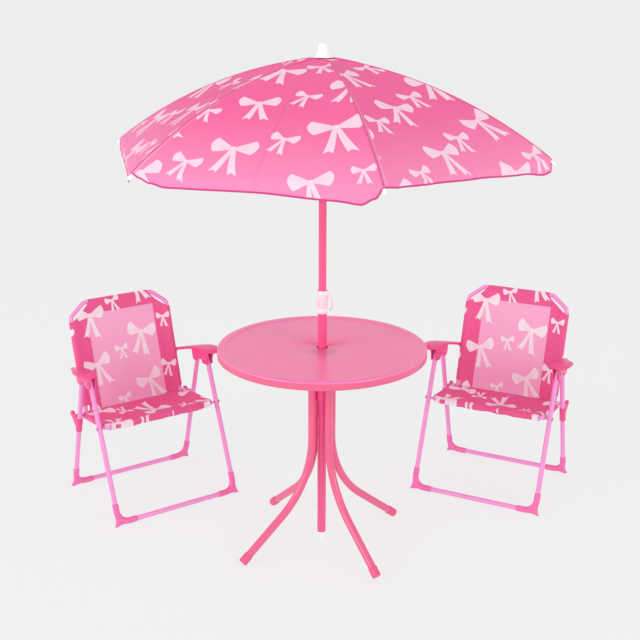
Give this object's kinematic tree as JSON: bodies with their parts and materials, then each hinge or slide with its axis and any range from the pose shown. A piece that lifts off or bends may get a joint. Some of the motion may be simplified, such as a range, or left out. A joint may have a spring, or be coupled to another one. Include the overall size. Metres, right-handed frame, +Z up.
{
  "type": "kids table and chairs",
  "caption": "Round metal table with a fabric parasol through its centre and folding sling armchairs, sized for small children.",
  "frame": {"origin": "middle of the parasol pole's blunt tip, on the floor under the centre of the table", "axes": "+X to the right of the table along the row of chairs, +Y from the front of the set towards the chairs' side, +Z up along the pole"},
  "size_m": [1.41, 1.0734, 1.2181],
  "materials": {
    "table_paint": "satin powder coat on pressed steel",
    "leg_paint": "gloss powder coat on steel tube",
    "pole_paint": "gloss powder coat on steel tube",
    "white_plastic": "moulded, smooth",
    "rib_steel": "white lacquered wire",
    "canopy_cloth": "printed woven polyester",
    "chair_paint": "gloss lacquer on steel tube",
    "chair_plastic": "moulded, satin",
    "sling_mesh": "printed coated mesh",
    "rivet_steel": "plated"
  },
  "bodies": {
    "table": {"table_top": "table_paint", "table_hub": "leg_paint", "pole_socket": "chair_plastic", "table_leg_1": "leg_paint", "table_leg_2": "leg_paint", "table_leg_3": "leg_paint", "table_leg_4": "leg_paint", "table_leg_caps": "chair_plastic", "table_screws": "rivet_steel"},
    "pole": {"lower_pole": "pole_paint", "pole_tip": "white_plastic", "pole_collar": "white_plastic"},
    "lever": {"collar_lever": "white_plastic"},
    "mast": {"upper_pole": "pole_paint", "crown": "white_plastic", "finial": "white_plastic", "canopy": "canopy_cloth"},
    "runner": {"runner": "white_plastic"},
    "rib_1": {"rib_1": "rib_steel", "rib_tip_1": "white_plastic"},
    "stretcher_1": {"stretcher_1": "rib_steel"},
    "rib_2": {"rib_2": "rib_steel", "rib_tip_2": "white_plastic"},
    "stretcher_2": {"stretcher_2": "rib_steel"},
    "rib_3": {"rib_3": "rib_steel", "rib_tip_3": "white_plastic"},
    "stretcher_3": {"stretcher_3": "rib_steel"},
    "rib_4": {"rib_4": "rib_steel", "rib_tip_4": "white_plastic"},
    "stretcher_4": {"stretcher_4": "rib_steel"},
    "rib_5": {"rib_5": "rib_steel", "rib_tip_5": "white_plastic"},
    "stretcher_5": {"stretcher_5": "rib_steel"},
    "rib_6": {"rib_6": "rib_steel", "rib_tip_6": "white_plastic"},
    "stretcher_6": {"stretcher_6": "rib_steel"},
    "left_chair": {"left_chair_front_frame": "chair_paint", "left_chair_front_feet": "chair_plastic", "left_chair_rivets": "rivet_steel"},
    "left_chair_arms": {"left_chair_armrests": "chair_plastic"},
    "left_chair_rear": {"left_chair_rear_frame": "chair_paint", "left_chair_rear_feet": "chair_plastic", "left_chair_brackets": "chair_plastic"},
    "left_chair_seat": {"left_chair_seat_frame": "chair_paint", "left_chair_seat_bolts": "rivet_steel", "left_chair_seat_sling": "sling_mesh"},
    "left_chair_back": {"left_chair_back_frame": "chair_paint", "left_chair_back_sling": "sling_mesh"},
    "right_chair": {"right_chair_front_frame": "chair_paint", "right_chair_front_feet": "chair_plastic", "right_chair_rivets": "rivet_steel"},
    "right_chair_arms": {"right_chair_armrests": "chair_plastic"},
    "right_chair_rear": {"right_chair_rear_frame": "chair_paint", "right_chair_rear_feet": "chair_plastic", "right_chair_brackets": "chair_plastic"},
    "right_chair_seat": {"right_chair_seat_frame": "chair_paint", "right_chair_seat_bolts": "rivet_steel", "right_chair_seat_sling": "sling_mesh"},
    "right_chair_back": {"right_chair_back_frame": "chair_paint", "right_chair_back_sling": "sling_mesh"}
  },
  "joints": [
    {"name": "pole_lift", "type": "slide", "parent": "table", "child": "pole", "axis": [0, 0, 1], "range_m": [0, 0.52]},
    {"name": "lever_swing", "type": "hinge", "parent": "pole", "child": "lever", "pos_m": [0.01658, 0.00374, 0.64], "axis": [0.2198, -0.9755, 0], "range_deg": [0, 80]},
    {"name": "mast_height", "type": "slide", "parent": "pole", "child": "mast", "axis": [0, 0, 1], "range_m": [-0.04, 0.12]},
    {"name": "parasol_close", "type": "slide", "parent": "mast", "child": "runner", "axis": [0, 0, -1], "range_m": [0, 0.3181], "deforming": ["canopy"]},
    {"name": "rib_1_hinge", "type": "hinge", "parent": "mast", "child": "rib_1", "pos_m": [0.02291, -0.00714, 1.18], "axis": [0.2974, 0.9548, 0], "range_deg": [0, 66.3]},
    {"name": "stretcher_1_hinge", "type": "hinge", "parent": "runner", "child": "stretcher_1", "pos_m": [0.0191, -0.00595, 1.065], "axis": [-0.2974, -0.9548, 0], "range_deg": [0, 62.92]},
    {"name": "rib_2_hinge", "type": "hinge", "parent": "mast", "child": "rib_2", "pos_m": [0.01764, 0.01628, 1.18], "axis": [-0.6782, 0.7349, 0], "range_deg": [0, 66.3]},
    {"name": "stretcher_2_hinge", "type": "hinge", "parent": "runner", "child": "stretcher_2", "pos_m": [0.0147, 0.01356, 1.065], "axis": [0.6782, -0.7349, 0], "range_deg": [0, 62.92]},
    {"name": "rib_3_hinge", "type": "hinge", "parent": "mast", "child": "rib_3", "pos_m": [-0.00528, 0.02341, 1.18], "axis": [-0.9755, -0.2198, 0], "range_deg": [0, 66.3]},
    {"name": "stretcher_3_hinge", "type": "hinge", "parent": "runner", "child": "stretcher_3", "pos_m": [-0.0044, 0.01951, 1.065], "axis": [0.9755, 0.2198, 0], "range_deg": [0, 62.92]},
    {"name": "rib_4_hinge", "type": "hinge", "parent": "mast", "child": "rib_4", "pos_m": [-0.02291, 0.00714, 1.18], "axis": [-0.2974, -0.9548, 0], "range_deg": [0, 66.3]},
    {"name": "stretcher_4_hinge", "type": "hinge", "parent": "runner", "child": "stretcher_4", "pos_m": [-0.0191, 0.00595, 1.065], "axis": [0.2974, 0.9548, 0], "range_deg": [0, 62.92]},
    {"name": "rib_5_hinge", "type": "hinge", "parent": "mast", "child": "rib_5", "pos_m": [-0.01764, -0.01628, 1.18], "axis": [0.6782, -0.7349, 0], "range_deg": [0, 66.3]},
    {"name": "stretcher_5_hinge", "type": "hinge", "parent": "runner", "child": "stretcher_5", "pos_m": [-0.0147, -0.01356, 1.065], "axis": [-0.6782, 0.7349, 0], "range_deg": [0, 62.92]},
    {"name": "rib_6_hinge", "type": "hinge", "parent": "mast", "child": "rib_6", "pos_m": [0.00528, -0.02341, 1.18], "axis": [0.9755, 0.2198, 0], "range_deg": [0, 66.3]},
    {"name": "stretcher_6_hinge", "type": "hinge", "parent": "runner", "child": "stretcher_6", "pos_m": [0.0044, -0.01951, 1.065], "axis": [-0.9755, -0.2198, 0], "range_deg": [0, 62.92]},
    {"name": "left_chair_draw_back", "type": "slide", "parent": "table", "child": "left_chair", "axis": [-0.5693, 0.8221, 0], "range_m": [0, 0.35]},
    {"name": "left_chair_seat_fold", "type": "hinge", "parent": "left_chair", "child": "left_chair_seat", "pos_m": [-0.43409, 0.23907, 0.24], "axis": [0.8221, 0.5693, 0], "range_deg": [0, 58]},
    {"name": "left_chair_arm_fold", "type": "hinge", "parent": "left_chair", "child": "left_chair_arms", "pos_m": [-0.45922, 0.27537, 0.354], "axis": [0.8221, 0.5693, 0], "range_deg": [0, 58.2]},
    {"name": "left_chair_back_fold", "type": "hinge", "parent": "left_chair_seat", "child": "left_chair_back", "pos_m": [-0.52432, 0.36938, 0.225], "axis": [0.8221, 0.5693, 0], "range_deg": [-58.2, 0]},
    {"name": "left_chair_rear_fold", "type": "hinge", "parent": "left_chair_arms", "child": "left_chair_rear", "pos_m": [-0.49082, 0.321, 0.344], "axis": [0.8221, 0.5693, 0], "range_deg": [-95.97, 0]},
    {"name": "right_chair_draw_back", "type": "slide", "parent": "table", "child": "right_chair", "axis": [0.4478, 0.8942, 0], "range_m": [0, 0.35]},
    {"name": "right_chair_seat_fold", "type": "hinge", "parent": "right_chair", "child": "right_chair_seat", "pos_m": [0.45203, 0.29733, 0.24], "axis": [0.8942, -0.4478, 0], "range_deg": [0, 58]},
    {"name": "right_chair_arm_fold", "type": "hinge", "parent": "right_chair", "child": "right_chair_arms", "pos_m": [0.4718, 0.33681, 0.354], "axis": [0.8942, -0.4478, 0], "range_deg": [0, 58.2]},
    {"name": "right_chair_back_fold", "type": "hinge", "parent": "right_chair_seat", "child": "right_chair_back", "pos_m": [0.523, 0.43906, 0.225], "axis": [0.8942, -0.4478, 0], "range_deg": [-58.2, 0]},
    {"name": "right_chair_rear_fold", "type": "hinge", "parent": "right_chair_arms", "child": "right_chair_rear", "pos_m": [0.49665, 0.38644, 0.344], "axis": [0.8942, -0.4478, 0], "range_deg": [-95.97, 0]}
  ],
  "couplings": [
    {"joint": "rib_1_hinge", "follows": "parasol_close", "rad_per_m": 3.6212},
    {"joint": "stretcher_1_hinge", "follows": "parasol_close", "rad_per_m": 3.4358},
    {"joint": "rib_2_hinge", "follows": "parasol_close", "rad_per_m": 3.6212},
    {"joint": "stretcher_2_hinge", "follows": "parasol_close", "rad_per_m": 3.4358},
    {"joint": "rib_3_hinge", "follows": "parasol_close", "rad_per_m": 3.6212},
    {"joint": "stretcher_3_hinge", "follows": "parasol_close", "rad_per_m": 3.4358},
    {"joint": "rib_4_hinge", "follows": "parasol_close", "rad_per_m": 3.6212},
    {"joint": "stretcher_4_hinge", "follows": "parasol_close", "rad_per_m": 3.4358},
    {"joint": "rib_5_hinge", "follows": "parasol_close", "rad_per_m": 3.6212},
    {"joint": "stretcher_5_hinge", "follows": "parasol_close", "rad_per_m": 3.4358},
    {"joint": "rib_6_hinge", "follows": "parasol_close", "rad_per_m": 3.6212},
    {"joint": "stretcher_6_hinge", "follows": "parasol_close", "rad_per_m": 3.4358},
    {"joint": "left_chair_arm_fold", "follows": "left_chair_seat_fold", "ratio": 1},
    {"joint": "left_chair_back_fold", "follows": "left_chair_seat_fold", "ratio": -1},
    {"joint": "left_chair_rear_fold", "follows": "left_chair_seat_fold", "ratio": -1.6494},
    {"joint": "right_chair_arm_fold", "follows": "right_chair_seat_fold", "ratio": 1},
    {"joint": "right_chair_back_fold", "follows": "right_chair_seat_fold", "ratio": -1},
    {"joint": "right_chair_rear_fold", "follows": "right_chair_seat_fold", "ratio": -1.6494}
  ]
}
